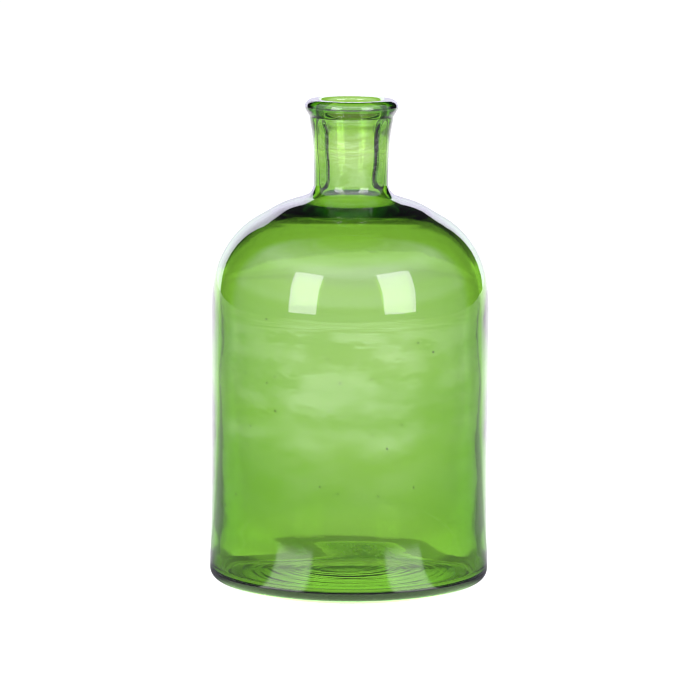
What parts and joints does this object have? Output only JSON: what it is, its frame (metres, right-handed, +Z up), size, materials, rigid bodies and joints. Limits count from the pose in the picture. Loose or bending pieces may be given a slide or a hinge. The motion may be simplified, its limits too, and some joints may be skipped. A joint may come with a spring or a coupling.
{
  "type": "glass carboy",
  "caption": "Heavy green glass carboy: straight round body, domed shoulder, short wide neck with a rounded lip, thick base; holds fermenting or finished wine, beer or cider.",
  "frame": {"origin": "middle of the foot ring, on the surface the bottle stands on", "axes": "+Z is up along the bottle's axis and out of the mouth; the bottle is round, so X and Y are free"},
  "size_m": [0.18, 0.18, 0.3136],
  "materials": {
    "green_glass": "fire-polished yellow-green bottle glass, slightly wavy, with a few fine seeds"
  },
  "bodies": {
    "root": {"glass_carboy": "green_glass"}
  },
  "joints": []
}
